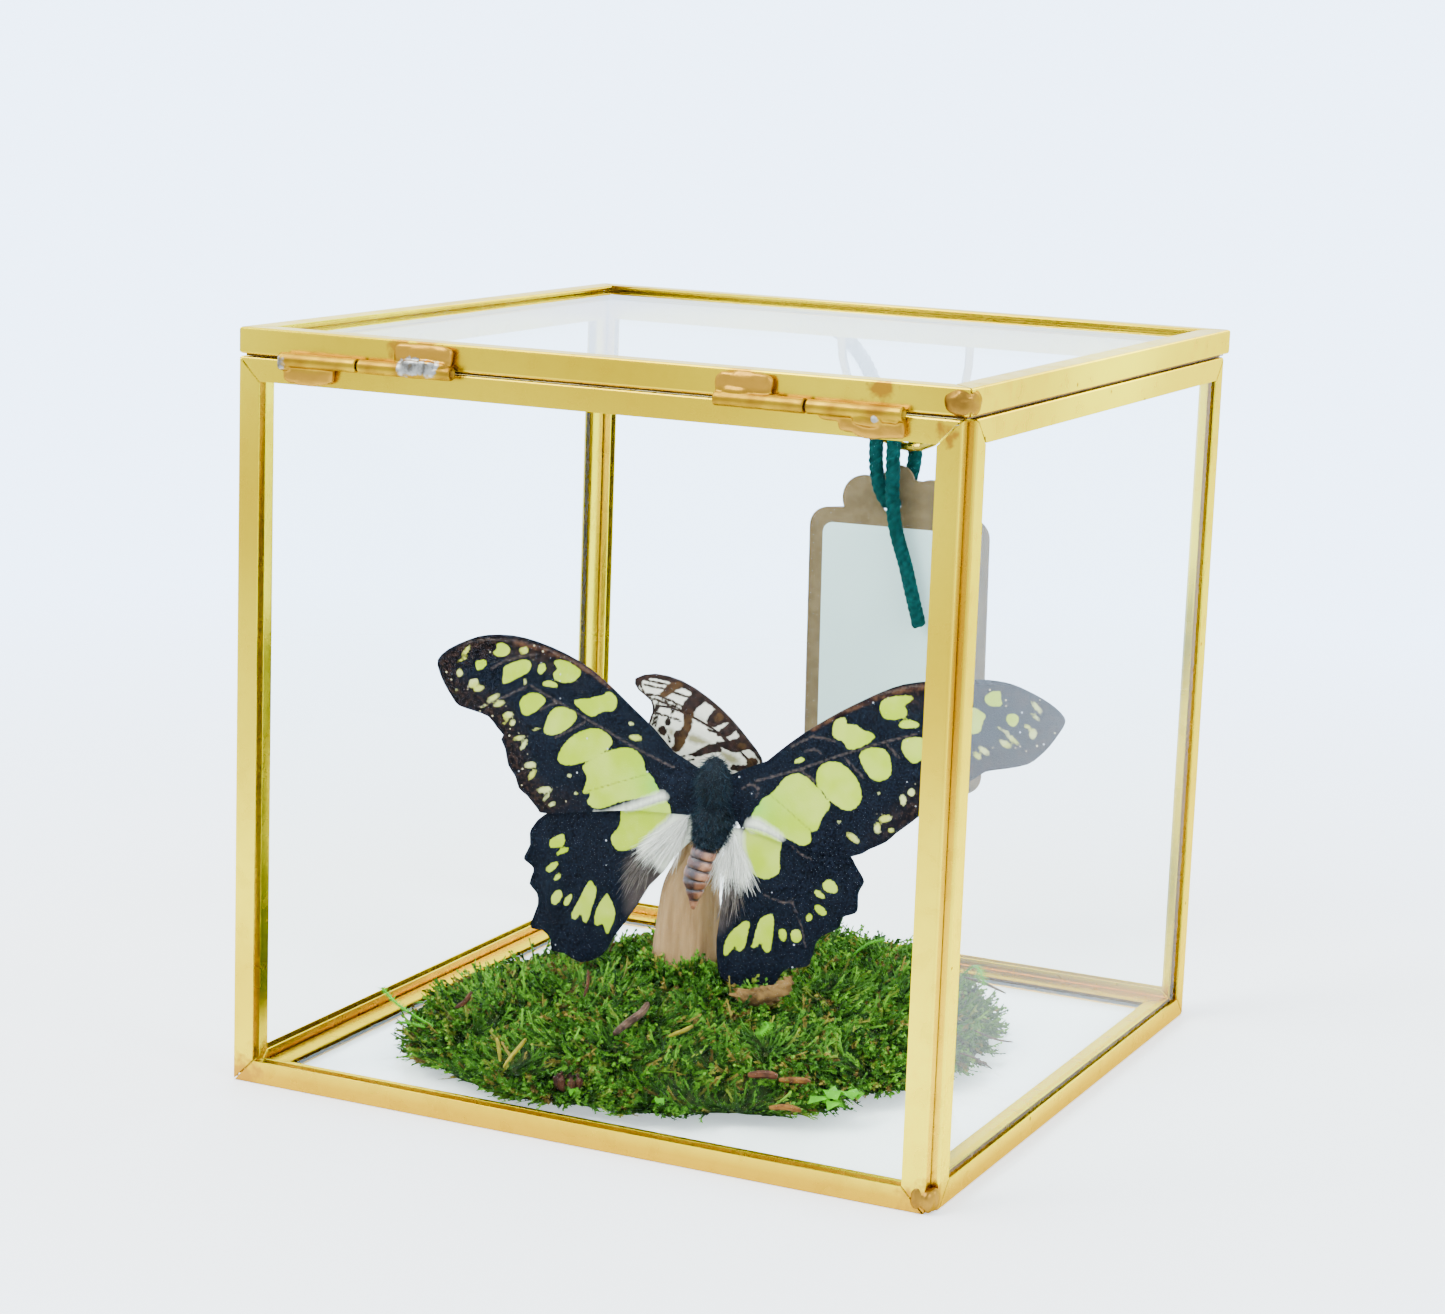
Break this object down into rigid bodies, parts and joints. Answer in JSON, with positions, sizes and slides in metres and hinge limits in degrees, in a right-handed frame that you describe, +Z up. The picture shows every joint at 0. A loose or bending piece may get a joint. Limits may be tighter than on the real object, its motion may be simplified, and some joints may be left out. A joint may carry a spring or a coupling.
{
  "type": "butterfly display case",
  "caption": "Cube case of clear glass panes in brass channel, with a hinged lid and hanging paper tag, over dried butterflies, a weathered post and a mound of moss.",
  "frame": {"origin": "middle of the underside of the case", "axes": "+Z up, -Y towards the lid's hinges, +Y towards the pull loop and the tag, +X to the right seen from the hinge side"},
  "size_m": [0.1, 0.1087, 0.1],
  "materials": {
    "brass": "polished folded channel",
    "brass_lid": "polished folded channel",
    "brass_hinge": "dull, stained by soldering",
    "glass": "clear float glass",
    "kraft": "kraft card with a pale paper face",
    "twine": "twisted cotton",
    "moss": "dried moss",
    "wood": "weathered bare wood",
    "bark": "rough bark",
    "dark_wing": "scaled wing, black with green spots",
    "dark_body": "hairy, dark",
    "pale_wing": "scaled wing, white with brown bands",
    "pale_body": "hairy, brown"
  },
  "bodies": {
    "case": {"back_glass": "glass", "back_rail_bottom": "brass", "back_rail_left": "brass", "back_rail_right": "brass", "back_rail_top": "brass", "bark_chip": "bark", "butterfly_body": "dark_body", "butterfly_forewing_left": "dark_wing", "butterfly_forewing_right": "dark_wing", "butterfly_hindwing_left": "dark_wing", "butterfly_hindwing_right": "dark_wing", "floor_glass": "glass", "floor_rail_back": "brass", "floor_rail_front": "brass", "floor_rail_left": "brass", "floor_rail_right": "brass", "front_glass": "glass", "front_rail_bottom": "brass", "front_rail_left": "brass", "front_rail_right": "brass", "front_rail_top": "brass", "hinge_left_case_tube": "brass_hinge", "hinge_left_pin": "brass_hinge", "hinge_right_case_tube": "brass_hinge", "hinge_right_pin": "brass_hinge", "left_glass": "glass", "left_rail_bottom": "brass", "left_rail_left": "brass", "left_rail_right": "brass", "left_rail_top": "brass", "moss": "moss", "post": "wood", "right_glass": "glass", "right_rail_bottom": "brass", "right_rail_left": "brass", "right_rail_right": "brass", "right_rail_top": "brass", "small_butterfly_body": "pale_body", "small_butterfly_forewing_far": "pale_wing", "small_butterfly_forewing_near": "pale_wing", "small_butterfly_hindwing_far": "pale_wing", "small_butterfly_hindwing_near": "pale_wing"},
    "lid": {"hinge_left_lid_tube": "brass_hinge", "hinge_right_lid_tube": "brass_hinge", "lid_glass": "glass", "lid_rail_back": "brass_lid", "lid_rail_front": "brass_lid", "lid_rail_left": "brass_lid", "lid_rail_right": "brass_lid", "pull_loop": "brass_hinge", "tag": "kraft", "twine_back": "twine", "twine_front": "twine"}
  },
  "joints": [
    {"name": "lid_hinge", "type": "hinge", "parent": "case", "child": "lid", "pos_m": [0, -0.0512, 0.09645], "axis": [1, 0, 0], "range_deg": [0, 175]}
  ]
}
